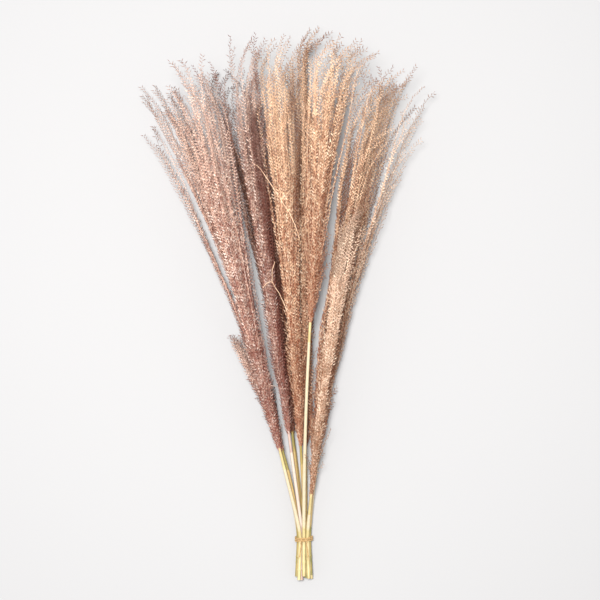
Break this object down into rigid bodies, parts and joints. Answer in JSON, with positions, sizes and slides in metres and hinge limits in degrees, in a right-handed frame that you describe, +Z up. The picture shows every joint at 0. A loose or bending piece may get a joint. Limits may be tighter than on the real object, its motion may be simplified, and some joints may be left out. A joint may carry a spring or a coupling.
{
  "type": "bundle of dried horsetail grass",
  "caption": "Bundle of dried feathery grass plumes on straw stems, tied near the cut ends with jute twine, lying on its side for a vase or a dried flower display.",
  "frame": {"origin": "under the middle of the tie, on the table that the bundle lies on", "axes": "+Y along the bundle from the cut ends to the plume tips, +X to the right as seen from above with the tips away from you, +Z up"},
  "size_m": [0.3914, 0.7467, 0.1679],
  "materials": {
    "plume_mauve": "dried, fluffy, matt",
    "plume_brown": "dried, fluffy, matt",
    "plume_copper": "dried, fluffy, matt",
    "plume_beige": "dried, fluffy, matt",
    "stem_straw": "dried straw, satin",
    "stem_olive": "dried straw, satin",
    "stem_mauve": "dried straw, satin",
    "jute": "twisted natural fibre, matt"
  },
  "bodies": {
    "root": {"stem_01": "stem_straw", "plume_01": "plume_mauve", "stem_02": "stem_olive", "plume_02": "plume_brown", "stem_03": "stem_straw", "plume_03": "plume_copper", "stem_04": "stem_straw", "plume_04": "plume_mauve", "stem_05": "stem_olive", "plume_05": "plume_brown", "stem_06": "stem_olive", "plume_06": "plume_copper", "stem_07": "stem_straw", "plume_07": "plume_beige", "stem_08": "stem_olive", "plume_08": "plume_mauve", "stem_09": "stem_mauve", "plume_09": "plume_mauve", "stem_10": "stem_olive", "plume_10": "plume_copper", "stem_11": "stem_olive", "plume_11": "plume_copper", "stem_12": "stem_straw", "plume_12": "plume_mauve", "stem_13": "stem_straw", "plume_13": "plume_copper", "stem_14": "stem_straw", "plume_14": "plume_beige", "tie": "jute"}
  },
  "joints": []
}
